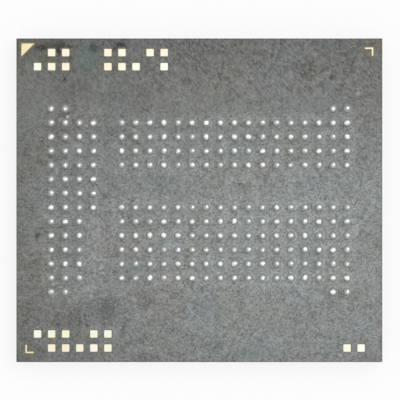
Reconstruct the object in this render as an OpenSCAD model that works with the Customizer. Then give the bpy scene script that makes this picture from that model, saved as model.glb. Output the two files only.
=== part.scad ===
// Multi-chip memory package in a 221-ball, fine-pitch ball grid array.
// A sawn block of black epoxy is moulded on a two-layer laminate. Stacked dies and
// their bond wires lie inside it, and solder balls stand on the laminate's outer face.
// It lies on the flat mould face with its balls up: x along the long side, y along
// the short side, z = 0 at the mould face. All sizes are in millimetres.

/* [Package] */
// Length of the body along x
body_length = 13; // [12.9:0.05:13.4]
// Width of the body along y
body_width = 11.5; // [11.4:0.05:12]
// Thickness of the moulded block below the laminate
mould_t = 0.62; // [0.58:0.01:0.8]
// Diameter of the index dot etched into the mould face
index_dot_d = 0.7; // [0.3:0.1:1.2]
// Depth of the index dot
index_dot_depth = 0.02; // [0.01:0.005:0.04]
// Distance from the body's sides to the centre of the index dot
index_dot_inset = 0.9; // [0.7:0.1:2]

/* [Laminate] */
// Thickness of the glass and resin core
core_t = 0.09; // [0.06:0.01:0.2]
// Thickness of each copper layer
copper_t = 0.015; // [0.01:0.005:0.03]
// Thickness of the solder mask over the copper
mask_t = 0.02; // [0.015:0.005:0.03]
// Width of a copper trace
trace_w = 0.04; // [0.03:0.005:0.05]
// Thickness of the nickel and gold finish on bare copper
plating_t = 0.005; // [0.003:0.001:0.01]

/* [Vias] */
// Diameter of a drilled via
via_drill_d = 0.1; // [0.08:0.01:0.12]
// Copper wall inside a via
via_wall = 0.015; // [0.01:0.005:0.025]
// Diameter of the copper pad over a via
via_pad_d = 0.16; // [0.14:0.01:0.18]

/* [Solder balls] */
// Distance between neighbouring balls
ball_pitch = 0.5; // [0.49:0.005:0.51]
// Diameter of a ball
ball_d = 0.3; // [0.28:0.01:0.34]
// Height of a ball above the solder mask
ball_standoff = 0.22; // [0.18:0.01:0.24]
// Diameter of the copper land under a ball
land_d = 0.35; // [0.32:0.01:0.4]
// Diameter of the mask opening over a land
land_opening_d = 0.26; // [0.22:0.01:0.3]

/* [Test pads and marks] */
// Side of the square that the mask leaves open over a test pad
test_pad_side = 0.27; // [0.24:0.01:0.32]
// Copper of a test pad that stays under the mask on each side
test_pad_rim = 0.02; // [0.01:0.005:0.03]
// Short sides of the triangle that marks the first corner
index_mark_leg = 0.48; // [0.3:0.02:0.6]
// Distance from the triangle to the body's sides
index_mark_inset = 0.17; // [0.12:0.01:0.25]
// Length of each arm of the corner marks
corner_mark_arm = 0.31; // [0.2:0.01:0.4]
// Width of the corner marks' lines
corner_mark_line = 0.07; // [0.05:0.01:0.12]
// Distance from the corner marks to the body's sides
corner_mark_inset = 0.31; // [0.2:0.01:0.4]

/* [Dies] */
// Thickness of each silicon die
die_t = 0.08; // [0.05:0.005:0.09]
// Thickness of the adhesive film under each die
film_t = 0.02; // [0.01:0.005:0.025]
// Distance from the right fingers to the far end of the upper flash die
flash_end_gap = 0.95; // [0.9:0.05:1.2]
// Silicon between the outermost edge bonds and the long sides of a flash die
flash_margin = 0.2; // [0.15:0.05:0.3]
// The same on a memory die, which is narrower
memory_margin = 0.1; // [0.08:0.01:0.15]
// Shelf that each stacked die leaves bare for the bonds of the die below it
die_step = 0.35; // [0.25:0.05:0.4]
// Distance from the far end of the upper flash die to the first memory die
memory_setback = 0.45; // [0.3:0.05:0.6]
// Length of the upper flash die left bare beside the memory dies
memory_shelf = 0.8; // [0.6:0.05:1]
// Length of the controller die along x
controller_length = 3.6; // [3.4:0.1:3.9]
// Width of the controller die along y
controller_width = 0.9; // [0.7:0.05:1]
// Place of the controller die's middle along x
controller_x = 1; // [0.9:0.1:1.4]

/* [Bond wires] */
// Diameter of the gold wire
wire_d = 0.02; // [0.015:0.001:0.025]
// Diameter of the ball bond on a die
bond_ball_d = 0.045; // [0.04:0.005:0.06]
// Height of the ball bond
bond_ball_h = 0.015; // [0.01:0.005:0.02]
// Height of the straight neck above the ball bond
neck_h = 0.045; // [0.04:0.005:0.06]
// Length of the pressed stitch on a finger
stitch_length = 0.09; // [0.07:0.01:0.12]
// Width of the stitch
stitch_w = 0.035; // [0.03:0.005:0.05]
// Height of the stitch
stitch_h = 0.008; // [0.006:0.001:0.012]
// Distance from a die's edge to the row of bonds on it
bond_inset = 0.1; // [0.07:0.01:0.12]
// Length of a bond finger
finger_length = 0.25; // [0.2:0.01:0.3]
// Width of a bond finger
finger_w = 0.07; // [0.06:0.005:0.09]
// Distance from the short sides of the body to the fingers
finger_inset = 0.45; // [0.4:0.01:0.5]
// Distance from the left fingers to the lower flash die
finger_gap = 0.7; // [0.6:0.05:0.8]
// Distance from the long side of the body to the controller's fingers
controller_finger_inset = 0.35; // [0.3:0.01:0.4]
// Distance from the controller's fingers to its die
controller_finger_gap = 0.25; // [0.2:0.01:0.35]
// Mask pulled back around a row of fingers
window_margin = 0.05; // [0.03:0.01:0.06]

/* [Capacitors] */
// Number of decoupling capacitors
capacitor_count = 4; // [1:1:6]
// Distance between neighbouring capacitors
capacitor_pitch = 0.8; // [0.7:0.05:1]
// Length of a capacitor over its terminals
capacitor_length = 0.4; // [0.35:0.01:0.45]
// Width and height of a capacitor
capacitor_side = 0.2; // [0.15:0.01:0.22]
// Length of each metal terminal
terminal_length = 0.1; // [0.06:0.01:0.12]
// Length of the solder foot beyond a terminal
solder_foot = 0.08; // [0.05:0.01:0.1]
// Distance from the middle of the body to the row of capacitors
capacitor_offset = 4.6; // [4.3:0.05:5]

/* [Hidden] */

$fn = 24;

// Levels of the stack, from the mould face up to the tops of the balls
die_face_z = mould_t;
die_copper_z = die_face_z + mask_t;
core_z = die_copper_z + copper_t;
ball_copper_z = core_z + core_t;
land_z = ball_copper_z + copper_t;
mask_top_z = land_z + mask_t;
ball_top_z = mask_top_z + ball_standoff;

// The ball field, counted in columns along x and rows down y, with gaps as routed
ball_cols = 22;
ball_rows = 14;
last_col = ball_cols - 1;
last_row = ball_rows - 1;
edge_cols = 4;       // columns at each end whose nets leave by the bond fingers there
field_first_col = 5; // first column of the wide field beside them
bare_rows = [5, 6];  // rows that stop after the edge columns

function grid_x(col) = (col - last_col / 2) * ball_pitch;
function grid_y(row) = (last_row / 2 - row) * ball_pitch;

function in_bare_row(row) = row >= bare_rows[0] && row <= bare_rows[1];
function has_ball(row, col) =
    row == 0 || row == last_row ? col < 2 || col > last_col - 2 :
    in_bare_row(row) ? col < edge_cols :
    col < (row > 7 ? edge_cols - 1 : edge_cols) || col >= field_first_col;

// Test pads as [row, columns]; rows and columns beyond the ball field are counted on
upper_left_pads = [[-4, [0, 1, 4, 5, 7, 8]], [-3, [-1, 0, 1, 4, 5, 6, 8]]];
lower_left_pads = [[16, [-1, 0, 1, 3, 4]], [17, [0, 1, 2, 3, 4]]];
lower_right_pads = [[17, [21, 22]]];
all_pads = concat(upper_left_pads, lower_left_pads, lower_right_pads);

// Each land and test pad has its via half a pitch right of it and half a pitch below
via_step = ball_pitch / 2;
function via_x(col) = grid_x(col) + via_step;
function via_y(row) = grid_y(row) - via_step;

// Die-side traces run in four lanes for each ball row
lane_pitch = ball_pitch / 4;
lanes = [0, 1, -1, 2];
function edge_col(side, c) = side < 0 ? c : last_col - c;
finger_end_x = body_length / 2 - finger_inset;
finger_x = finger_end_x - finger_length / 2;

// The controller's fingers feed two field rows, one column for every two fingers
controller_rows = [1, 2];
controller_nets = 2 * (last_col - edge_cols - field_first_col + 1);
controller_finger_y = body_width / 2 - controller_finger_inset - finger_length / 2;
controller_top_y = controller_finger_y - finger_length / 2 - controller_finger_gap;
controller_fan_y = controller_top_y - controller_width;
controller_lane_y = via_y(0);
function controller_finger_x(i) = controller_x + (i - (controller_nets - 1) / 2) * lane_pitch;
function controller_col(i) = field_first_col + floor(i / 2);
function controller_lane_x(i) = via_x(field_first_col) + i * via_step;

// The stack, measured from the laminate's die side downwards
level_t = film_t + die_t;
flash_left = -(finger_end_x - finger_length - finger_gap);
flash_right = finger_end_x - finger_length - flash_end_gap;
flash_length = flash_right - die_step - flash_left;
flash_width = 2 * (flash_margin - via_y(last_row));
memory_right = flash_right - memory_setback;
memory_length = memory_right - flash_left - 2 * die_step - memory_shelf;
memory_width = 2 * (memory_margin - via_y(last_row));

// Each stacked die as [level, left end, length, width]
lower_flash = [0, flash_left, flash_length, flash_width];
upper_flash = [1, flash_left + die_step, flash_length, flash_width];
lower_memory = [2, memory_right - memory_length, memory_length, memory_width];
upper_memory = [3, memory_right - die_step - memory_length, memory_length, memory_width];

finger_top = plating_t - mask_t; // height of a plated finger in the die-side frame
knee_scale = 1.2;                // the wire is thicker where it was bent at the knee
overrun = 1;                     // how far a cutting solid runs past what it cuts

// ---------- Frames and patterns ----------

// Children stand on the laminate's die side, with their own z pointing into the mould
module on_die_side() {
    translate([0, 0, die_face_z]) mirror([0, 0, 1]) children();
}

module body_slab(bottom, top) {
    translate([-body_length / 2, -body_width / 2, bottom])
        cube([body_length, body_width, top - bottom]);
}

module at_row_balls(row) {
    for (col = [0 : last_col])
        if (has_ball(row, col)) translate([grid_x(col), grid_y(row)]) children();
}

module at_all_balls() {
    for (row = [0 : last_row]) at_row_balls(row) children();
}

module at_pads(rows) {
    for (row = rows)
        for (col = row[1]) translate([grid_x(col), grid_y(row[0])]) children();
}

module at_vias() {
    translate([via_step, -via_step]) {
        at_all_balls() children();
        at_pads(all_pads) children();
    }
}

// Children at every edge finger of one side whose lane suits the given die, or at all
// of them when die is undef: 0 takes the even lanes, 1 the odd lanes
module at_edge_fingers(side, die = undef) {
    for (row = [0 : last_row], c = [0 : edge_cols - 1])
        if (has_ball(row, edge_col(side, c)) && (is_undef(die) || abs(lanes[c]) % 2 == die))
            translate([side * finger_x, via_y(row) + lanes[c] * lane_pitch]) children();
}

module at_controller_fingers() {
    for (i = [0 : controller_nets - 1])
        translate([controller_finger_x(i), controller_finger_y]) children();
}

module at_capacitors() {
    for (i = [0 : capacitor_count - 1])
        translate([(i - (capacitor_count - 1) / 2) * capacitor_pitch, -capacitor_offset])
            children();
}

// ---------- Copper ----------

function left_normal(from, to) = [from[1] - to[1], to[0] - from[0]] / norm(to - from);

// One side of a trace, mitred at each bend; hand is 1 for its left side and -1 for its right
function trace_side(p, hand) = [
    for (i = [0 : len(p) - 1])
        let (
            before = left_normal(p[max(i - 1, 0)], p[max(i, 1)]),
            after = left_normal(p[min(i, len(p) - 2)], p[min(i + 1, len(p) - 1)])
        )
        p[i] + hand * trace_w / 2 * (before + after) / (1 + before * after)
];

module trace(points) {
    right = trace_side(points, -1);
    polygon(concat(trace_side(points, 1), [for (i = [len(right) - 1 : -1 : 0]) right[i]]));
}

module finger_outline() {
    square([finger_length, finger_w], center = true);
}

// One net of an edge finger: sawn end, finger, lane, and the pad over its via
module edge_net(side, row, c) {
    via = [via_x(edge_col(side, c)), via_y(row)];
    y = via[1] + lanes[c] * lane_pitch;
    bend = [via[0] + side * abs(lanes[c]) * lane_pitch, y];
    start = [side * body_length / 2, y];
    translate([side * finger_x, y]) finger_outline();
    translate(via) circle(d = via_pad_d);
    trace(lanes[c] == 0 ? [start, via] : [start, bend, via]);
}

// One net of the controller: it fans out from its finger to a lane between the vias
module controller_net(i) {
    even = i % 2 == 0;
    via = [via_x(controller_col(i)), via_y(controller_rows[even ? 0 : 1])];
    lane = controller_lane_x(i);
    start = [controller_finger_x(i), body_width / 2];
    fan = [start, [start[0], controller_fan_y], [lane, controller_lane_y]];
    translate([start[0], controller_finger_y]) rotate(90) finger_outline();
    translate(via) circle(d = via_pad_d);
    trace(concat(fan, even ? [via] : [[lane, via[1] + via_step], via]));
}

// The plane that joins the vias of the inner field
module ground_plane() {
    left = via_x(field_first_col) - via_pad_d;
    right = via_x(last_col - edge_cols) + via_pad_d;
    top = via_y(controller_rows[1] + 1) + via_pad_d;
    bottom = via_y(last_row - 1) - via_pad_d;
    translate([left, bottom]) square([right - left, top - bottom]);
}

// The open squares under a capacitor's terminals, and its copper lands
module capacitor_land() {
    land_l = terminal_length + solder_foot;
    for (end = [-1, 1])
        translate([end * (capacitor_length / 2 - terminal_length + land_l / 2), 0])
            square([land_l, capacitor_side], center = true);
}

module die_side_traces() {
    translate([0, 0, die_copper_z]) {
        for (side = [-1, 1], row = [0 : last_row], c = [0 : edge_cols - 1])
            if (has_ball(row, edge_col(side, c)))
                linear_extrude(copper_t) edge_net(side, row, c);
        for (i = [0 : controller_nets - 1]) linear_extrude(copper_t) controller_net(i);
        linear_extrude(copper_t) ground_plane();
        translate([via_step, -via_step]) at_pads(all_pads) cylinder(d = via_pad_d, h = copper_t);
        at_capacitors() linear_extrude(copper_t) capacitor_land();
    }
}

// From the middle of a land or test pad to its via
module via_link() {
    trace([[0, 0], [via_step, -via_step]]);
    translate([via_step, -via_step]) circle(d = via_pad_d);
}

module test_pad_copper() {
    side = test_pad_side + 2 * test_pad_rim;
    square([side, side], center = true);
}

// Stubs that fed current to the outer test pads while they were plated, sawn off flush
module plating_stubs() {
    for (row = all_pads)
        if (row[0] == -4 || row[0] == 17)
            for (col = row[1]) {
                pad = [grid_x(col), grid_y(row[0])];
                trace([pad, [pad[0], sign(pad[1]) * body_width / 2]]);
            }
}

module first_corner_outline() {
    translate([-body_length / 2 + index_mark_inset, body_width / 2 - index_mark_inset])
        polygon([[0, 0], [0, -index_mark_leg], [index_mark_leg, 0]]);
}

// An L with its corner at the origin and its arms along +x and +y
module corner_mark_outline() {
    polygon([
        [0, 0], [corner_mark_arm, 0], [corner_mark_arm, corner_mark_line],
        [corner_mark_line, corner_mark_line], [corner_mark_line, corner_mark_arm],
        [0, corner_mark_arm]
    ]);
}

module at_lower_left_mark() {
    translate([corner_mark_inset - body_length / 2, corner_mark_inset - body_width / 2])
        children();
}

module at_upper_right_mark() {
    rotate(180) at_lower_left_mark() children();
}

module all_marks() {
    first_corner_outline();
    at_lower_left_mark() corner_mark_outline();
    at_upper_right_mark() corner_mark_outline();
}

module ball_side_traces() {
    translate([0, 0, ball_copper_z]) {
        at_all_balls() linear_extrude(copper_t) {
            circle(d = land_d);
            via_link();
        }
        linear_extrude(copper_t) {
            at_pads(all_pads) {
                test_pad_copper();
                via_link();
            }
            plating_stubs();
        }
        linear_extrude(copper_t) all_marks();
    }
}

// ---------- Laminate ----------

module substrate_core() {
    color("burlywood") difference() {
        body_slab(core_z, ball_copper_z);
        at_vias() translate([0, 0, core_z - overrun])
            cylinder(d = via_drill_d, h = core_t + 2 * overrun);
    }
}

module via_barrels() {
    color("peru") at_vias() translate([0, 0, core_z]) difference() {
        cylinder(d = via_drill_d, h = core_t);
        translate([0, 0, -overrun])
            cylinder(d = via_drill_d - 2 * via_wall, h = core_t + 2 * overrun);
    }
}

module via_plugs() {
    color("darkolivegreen") at_vias() translate([0, 0, core_z])
        cylinder(d = via_drill_d - 2 * via_wall, h = core_t);
}

module die_side_copper() {
    color("peru") die_side_traces();
}

module ball_side_copper() {
    color("peru") ball_side_traces();
}

// The windows around the rows of fingers, opened down to the copper
module finger_windows() {
    span_y = [via_y(last_row), via_y(0) + lane_pitch];
    reach_y = finger_w / 2 + window_margin;
    for (side = [-1, 1])
        translate([side * finger_x - finger_length / 2 - window_margin,
                   span_y[0] - reach_y, die_face_z])
            cube([finger_length + 2 * window_margin,
                  span_y[1] - span_y[0] + 2 * reach_y, mask_t]);
    translate([controller_finger_x(0) - reach_y,
               controller_finger_y - finger_length / 2 - window_margin, die_face_z])
        cube([(controller_nets - 1) * lane_pitch + 2 * reach_y,
              finger_length + 2 * window_margin, mask_t]);
}

module die_side_solder_mask() {
    color("darkseagreen") difference() {
        body_slab(die_face_z, core_z);
        die_side_traces();
        finger_windows();
        translate([0, 0, die_face_z]) at_capacitors()
            linear_extrude(mask_t) capacitor_land();
    }
}

module ball_side_solder_mask() {
    color([0.48, 0.5, 0.47]) difference() {
        body_slab(ball_copper_z, mask_top_z);
        ball_side_traces();
        translate([0, 0, land_z]) {
            at_all_balls() cylinder(d = land_opening_d, h = mask_t);
            linear_extrude(mask_t) {
                at_pads(all_pads) square(test_pad_side, center = true);
                all_marks();
            }
        }
    }
}

// ---------- Gold on the ball side ----------

module pad_plating(rows) {
    color("gold") at_pads(rows) translate([0, 0, land_z]) linear_extrude(plating_t)
        square(test_pad_side, center = true);
}

module upper_left_test_pads() { pad_plating(upper_left_pads); }
module lower_left_test_pads() { pad_plating(lower_left_pads); }
module lower_right_test_pads() { pad_plating(lower_right_pads); }

module mark_plating() {
    color("gold") translate([0, 0, land_z]) linear_extrude(plating_t) children();
}

module first_corner_triangle() { mark_plating() first_corner_outline(); }
module upper_right_corner_mark() { mark_plating() at_upper_right_mark() corner_mark_outline(); }
module lower_left_corner_mark() { mark_plating() at_lower_left_mark() corner_mark_outline(); }

// ---------- Solder balls ----------

// The solder fills its mask opening and stands on it as a ball cut flat by the mask
module solder_ball() {
    translate([0, 0, land_z]) cylinder(d = land_opening_d, h = mask_t);
    intersection() {
        translate([0, 0, ball_top_z - ball_d / 2]) sphere(d = ball_d);
        translate([-ball_d, -ball_d, mask_top_z]) cube(2 * ball_d);
    }
}

module ball_row(number) {
    color("silver") at_row_balls(number - 1) solder_ball();
}

// ---------- Dies and their films ----------

module stacked_die(die) {
    color("slategray") on_die_side() translate([die[1], -die[3] / 2, die[0] * level_t + film_t])
        cube([die[2], die[3], die_t]);
}

module stacked_film(die) {
    color("tan") on_die_side() translate([die[1], -die[3] / 2, die[0] * level_t])
        cube([die[2], die[3], film_t]);
}

module lower_flash_die() { stacked_die(lower_flash); }
module upper_flash_die() { stacked_die(upper_flash); }
module lower_memory_die() { stacked_die(lower_memory); }
module upper_memory_die() { stacked_die(upper_memory); }
module lower_flash_film() { stacked_film(lower_flash); }
module upper_flash_film() { stacked_film(upper_flash); }
module lower_memory_film() { stacked_film(lower_memory); }
module upper_memory_film() { stacked_film(upper_memory); }

module controller_slab(bottom, thickness) {
    on_die_side()
        translate([controller_x - controller_length / 2, controller_top_y - controller_width, bottom])
            cube([controller_length, controller_width, thickness]);
}

module controller_die() { color("slategray") controller_slab(film_t, die_t); }
module controller_film() { color("tan") controller_slab(0, film_t); }

// ---------- Bond wires ----------

// A wire from its finger at the origin to a die whose bonds lie reach away along +x:
// stitch, long slant, knee, upright neck and ball bond
module bond_wire(reach, die_top) {
    knee_z = die_top + bond_ball_h + neck_h;
    fall = knee_z - finger_top - wire_d / 2;
    translate([-stitch_length / 2, -stitch_w / 2, finger_top])
        cube([stitch_length, stitch_w, stitch_h]);
    translate([reach, 0, knee_z]) {
        rotate([0, atan2(-reach, -fall), 0]) cylinder(d = wire_d, h = norm([reach, fall]));
        sphere(d = knee_scale * wire_d);
    }
    translate([reach, 0, die_top + bond_ball_h]) cylinder(d = wire_d, h = neck_h);
    translate([reach, 0, die_top]) cylinder(d = bond_ball_d, h = bond_ball_h);
}

// The wires of a stacked die; the side is -1 where its bonds are at its left end
module edge_wires(side, parity, die) {
    die_end = side < 0 ? -die[1] : die[1] + die[2];
    color("goldenrod") on_die_side() at_edge_fingers(side, parity)
        rotate(side < 0 ? 0 : 180)
            bond_wire(finger_x - die_end + bond_inset, (die[0] + 1) * level_t);
}

module lower_flash_wires() { edge_wires(-1, 0, lower_flash); }
module upper_flash_wires() { edge_wires(-1, 1, upper_flash); }
module lower_memory_wires() { edge_wires(1, 0, lower_memory); }
module upper_memory_wires() { edge_wires(1, 1, upper_memory); }

module controller_wires() {
    color("goldenrod") on_die_side() at_controller_fingers() rotate(-90)
        bond_wire(controller_finger_y - controller_top_y + bond_inset, level_t);
}

module finger_gold() {
    color("gold") translate([0, 0, die_copper_z - plating_t]) linear_extrude(plating_t) children();
}

module left_finger_plating() { finger_gold() at_edge_fingers(-1) finger_outline(); }
module right_finger_plating() { finger_gold() at_edge_fingers(1) finger_outline(); }
module controller_finger_plating() {
    finger_gold() at_controller_fingers() rotate(90) finger_outline();
}

// ---------- Capacitors ----------

module capacitor_bodies() {
    length = capacitor_length - 2 * terminal_length;
    color("sienna") on_die_side() at_capacitors()
        translate([-length / 2, -capacitor_side / 2, 0])
            cube([length, capacitor_side, capacitor_side]);
}

module capacitor_terminals() {
    color("silver") on_die_side() at_capacitors() for (end = [-1, 1])
        translate([end * (capacitor_length - terminal_length) / 2, 0, capacitor_side / 2])
            cube([terminal_length, capacitor_side, capacitor_side], center = true);
}

// Solder in the mask opening under each terminal, rising in a slope up its end
module capacitor_solder() {
    inner = capacitor_length / 2 - terminal_length;
    outer = capacitor_length / 2 + solder_foot;
    color("gainsboro") on_die_side() at_capacitors() for (turn = [0, 180])
        rotate([90, 0, turn]) translate([0, 0, -capacitor_side / 2])
            linear_extrude(capacitor_side)
                polygon([[inner, -mask_t], [outer, -mask_t], [outer, 0],
                         [capacitor_length / 2, capacitor_side / 2],
                         [capacitor_length / 2, 0], [inner, 0]]);
}

// ---------- Mould ----------

// What the epoxy flowed around
module buried_parts() {
    left_finger_plating();
    right_finger_plating();
    controller_finger_plating();
    for (die = [lower_flash, upper_flash, lower_memory, upper_memory]) {
        stacked_film(die);
        stacked_die(die);
    }
    controller_film();
    controller_die();
    lower_flash_wires();
    upper_flash_wires();
    lower_memory_wires();
    upper_memory_wires();
    controller_wires();
    capacitor_bodies();
    capacitor_terminals();
    capacitor_solder();
}

module mould_cap() {
    color([0.13, 0.13, 0.14]) difference() {
        union() {
            body_slab(0, die_face_z);
            finger_windows();
        }
        buried_parts();
        translate([index_dot_inset - body_length / 2, body_width / 2 - index_dot_inset, -overrun])
            cylinder(d = index_dot_d, h = index_dot_depth + overrun);
    }
}

mould_cap();
substrate_core();
via_barrels();
via_plugs();
die_side_copper();
ball_side_copper();
die_side_solder_mask();
ball_side_solder_mask();
upper_left_test_pads();
lower_left_test_pads();
lower_right_test_pads();
first_corner_triangle();
upper_right_corner_mark();
lower_left_corner_mark();
ball_row(1);  // ball_row_01
ball_row(2);  // ball_row_02
ball_row(3);  // ball_row_03
ball_row(4);  // ball_row_04
ball_row(5);  // ball_row_05
ball_row(6);  // ball_row_06
ball_row(7);  // ball_row_07
ball_row(8);  // ball_row_08
ball_row(9);  // ball_row_09
ball_row(10);  // ball_row_10
ball_row(11);  // ball_row_11
ball_row(12);  // ball_row_12
ball_row(13);  // ball_row_13
ball_row(14);  // ball_row_14
lower_flash_die();
upper_flash_die();
lower_memory_die();
upper_memory_die();
controller_die();
lower_flash_film();
upper_flash_film();
lower_memory_film();
upper_memory_film();
controller_film();
lower_flash_wires();
upper_flash_wires();
lower_memory_wires();
upper_memory_wires();
controller_wires();
left_finger_plating();
right_finger_plating();
controller_finger_plating();
capacitor_bodies();
capacitor_terminals();
capacitor_solder();
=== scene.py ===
"""A 221-ball memory package lying on its mould face, with its solder balls up.

Everything is in metres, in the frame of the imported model: x along the body's long side,
y along its short side, z = 0 at the mould face.
"""
import math

import bmesh
import bpy
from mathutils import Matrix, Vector


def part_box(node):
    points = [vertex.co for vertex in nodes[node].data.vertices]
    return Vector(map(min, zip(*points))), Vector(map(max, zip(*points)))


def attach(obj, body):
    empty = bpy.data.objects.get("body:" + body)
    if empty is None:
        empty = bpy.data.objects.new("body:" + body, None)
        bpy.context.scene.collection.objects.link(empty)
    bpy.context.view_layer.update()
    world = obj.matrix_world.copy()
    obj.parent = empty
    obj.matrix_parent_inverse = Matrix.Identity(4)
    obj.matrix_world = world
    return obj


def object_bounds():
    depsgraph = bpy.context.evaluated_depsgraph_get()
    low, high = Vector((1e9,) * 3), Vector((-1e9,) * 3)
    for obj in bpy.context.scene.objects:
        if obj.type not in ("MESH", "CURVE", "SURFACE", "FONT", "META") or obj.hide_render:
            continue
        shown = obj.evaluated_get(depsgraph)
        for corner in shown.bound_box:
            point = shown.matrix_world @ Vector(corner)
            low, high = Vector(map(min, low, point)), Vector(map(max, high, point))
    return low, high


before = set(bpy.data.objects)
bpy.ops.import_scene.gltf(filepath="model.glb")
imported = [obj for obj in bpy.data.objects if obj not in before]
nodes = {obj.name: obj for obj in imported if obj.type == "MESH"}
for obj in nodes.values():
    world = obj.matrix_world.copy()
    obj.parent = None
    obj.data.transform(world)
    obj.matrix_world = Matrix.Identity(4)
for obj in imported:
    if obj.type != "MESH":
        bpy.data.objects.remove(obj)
cad_low, cad_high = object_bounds()
MM = 0.001

# ---------- Table, light and camera ----------
# The package lies on a plain white table, which keeps a faint shadow of it. The light is
# a wide, soft dome with one large lamp, and the camera looks straight down on the balls.

BALL_MIDDLE_Z = 0.85 * MM
VIEW_WIDTH = 14.2 * MM           # what the camera takes in at the level of the balls
VIEW_CENTRE = (0.023 * MM, 0.01 * MM)
LENS = 200.0                     # focal length and sensor width, in millimetres
SENSOR = 36.0
TABLE_REACH = 0.4                # from the middle to each side, in metres
TABLE_GAP = 0.001 * MM
TABLE_GLOW = 0.82                # the share of plain white in the table's look
DOME_LIGHT = 0.8
LAMP_LIGHT = 0.8
LAMP_SPREAD = math.radians(44)
LAMP_SIDE = (0.5, 0.42, 1.0)     # where the lamp's light comes from


class Wiring:
    """Adds nodes to one node tree; an input is given a value or the socket that feeds it."""

    def __init__(self, tree):
        self.tree = tree
        self.count = 0

    def node(self, kind, inputs=None, **settings):
        made = self.tree.nodes.new(kind)
        made.location = (220 * (self.count % 12), -260 * (self.count // 12))
        self.count += 1
        for name, value in settings.items():
            setattr(made, name, value)
        for key, value in (inputs or {}).items():
            self.feed(made.inputs[key], value)
        return made

    def feed(self, socket, value):
        if isinstance(value, bpy.types.NodeSocket):
            self.tree.links.new(value, socket)
        else:
            socket.default_value = value

    def math(self, operation, *values):
        return self.node("ShaderNodeMath", dict(enumerate(values)), operation=operation).outputs[0]

    def vector(self, operation, *values):
        made = self.node("ShaderNodeVectorMath", dict(enumerate(values)), operation=operation)
        return made.outputs["Value" if operation in ("LENGTH", "DISTANCE") else "Vector"]

    def scaled(self, vector, factor):
        made = self.node("ShaderNodeVectorMath", {0: vector, "Scale": factor}, operation="SCALE")
        return made.outputs["Vector"]

    def flat(self, vector):
        """The vector without its height."""
        return self.vector("MULTIPLY", vector, (1.0, 1.0, 0.0))

    def swing(self, noise, depth):
        """0 at a noise's middle value, and up or down with it by a depth."""
        return self.math("MULTIPLY", self.math("SUBTRACT", noise, 0.5), depth)

    def level(self, noise, depth):
        """1 at a noise's middle value, and up or down with it by a depth."""
        return self.math("MULTIPLY_ADD", self.math("SUBTRACT", noise, 0.5), depth, 1.0)

    def push(self, noise, reach):
        """A vector that points every way by turns, from a noise's colour."""
        return self.scaled(self.vector("SUBTRACT", noise, (0.5, 0.5, 0.5)), reach)

    def split(self, vector):
        return self.node("ShaderNodeSeparateXYZ", {0: vector}).outputs

    def join(self, x, y, z):
        return self.node("ShaderNodeCombineXYZ", {0: x, 1: y, 2: z}).outputs[0]

    def mixed(self, factor, a, b, blend="MIX"):
        made = self.node("ShaderNodeMix", data_type="RGBA", blend_type=blend)
        self.feed(made.inputs["Factor"], factor)
        self.feed(made.inputs[6], a)
        self.feed(made.inputs[7], b)
        return made.outputs[2]

    def ranged(self, value, low, high, to_low=0.0, to_high=1.0, smooth=True):
        made = self.node("ShaderNodeMapRange", {0: value, 1: low, 2: high, 3: to_low, 4: to_high},
                         interpolation_type="SMOOTHSTEP" if smooth else "LINEAR")
        return made.outputs[0]

    def noise(self, position, size, detail=2.0, rough=0.5, skew=0.0):
        made = self.node("ShaderNodeTexNoise", {
            "Vector": position, "Scale": 1 / size, "Detail": detail,
            "Roughness": rough, "Distortion": skew})
        return made.outputs

    def group(self, tree, inputs):
        made = self.node("ShaderNodeGroup")
        made.node_tree = tree
        for name, value in inputs.items():
            self.feed(made.inputs[name], value)
        return made.outputs


def colour(red, green, blue):
    """A colour given as it looks on a screen, from 0 to 255, in the renderer's linear values."""
    def linear(c):
        c = c / 255
        return c / 12.92 if c <= 0.04045 else ((c + 0.055) / 1.055) ** 2.4
    return (linear(red), linear(green), linear(blue), 1.0)


def new_object(name, data):
    """A new object in the scene, at the origin."""
    made = bpy.data.objects.new(name, data)
    bpy.context.scene.collection.objects.link(made)
    return made


def material(name):
    """A new, empty material and the wiring of its tree."""
    made = bpy.data.materials.new(name)
    made.use_nodes = True
    made.node_tree.nodes.clear()
    return made, Wiring(made.node_tree)


def seen_directly(w):
    """1 for a ray from the camera and for one that metal or glass passes on, else 0."""
    path = w.node("ShaderNodeLightPath").outputs
    return w.math("MAXIMUM", path["Is Camera Ray"],
                  w.math("MAXIMUM", path["Is Glossy Ray"], path["Is Transmission Ray"]))


def table_material():
    """Matt white, brightened where it is seen, and clear from below."""
    made, w = material("table_top")
    matt = w.node("ShaderNodeBsdfDiffuse", {"Color": colour(243, 243, 242)})
    white = w.node("ShaderNodeEmission", {"Color": (1.0, 1.0, 1.0, 1.0), "Strength": 1.0})
    share = w.math("MULTIPLY", seen_directly(w), TABLE_GLOW)
    both = w.node("ShaderNodeMixShader", {0: share, 1: matt.outputs[0], 2: white.outputs[0]})
    clear = w.node("ShaderNodeBsdfTransparent")
    under = w.node("ShaderNodeNewGeometry").outputs["Backfacing"]
    top_only = w.node("ShaderNodeMixShader", {0: under, 1: both.outputs[0],
                                              2: clear.outputs[0]})
    w.node("ShaderNodeOutputMaterial", {"Surface": top_only.outputs[0]})
    return made


def make_table():
    """A frame around the package, open under it, so that its mould face shows from below."""
    mesh = bpy.data.meshes.new("table_top")
    outer = [(x * TABLE_REACH, y * TABLE_REACH, -TABLE_GAP)
             for x, y in ((-1, -1), (1, -1), (1, 1), (-1, 1))]
    inner = [(x, y, -TABLE_GAP) for x, y in (
        (cad_low.x, cad_low.y), (cad_high.x, cad_low.y),
        (cad_high.x, cad_high.y), (cad_low.x, cad_high.y))]
    mesh.from_pydata(outer + inner, [], [(0, 1, 5, 4), (1, 2, 6, 5), (2, 3, 7, 6), (3, 0, 4, 7)])
    mesh.materials.append(table_material())
    table = new_object("table_top", mesh)


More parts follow.
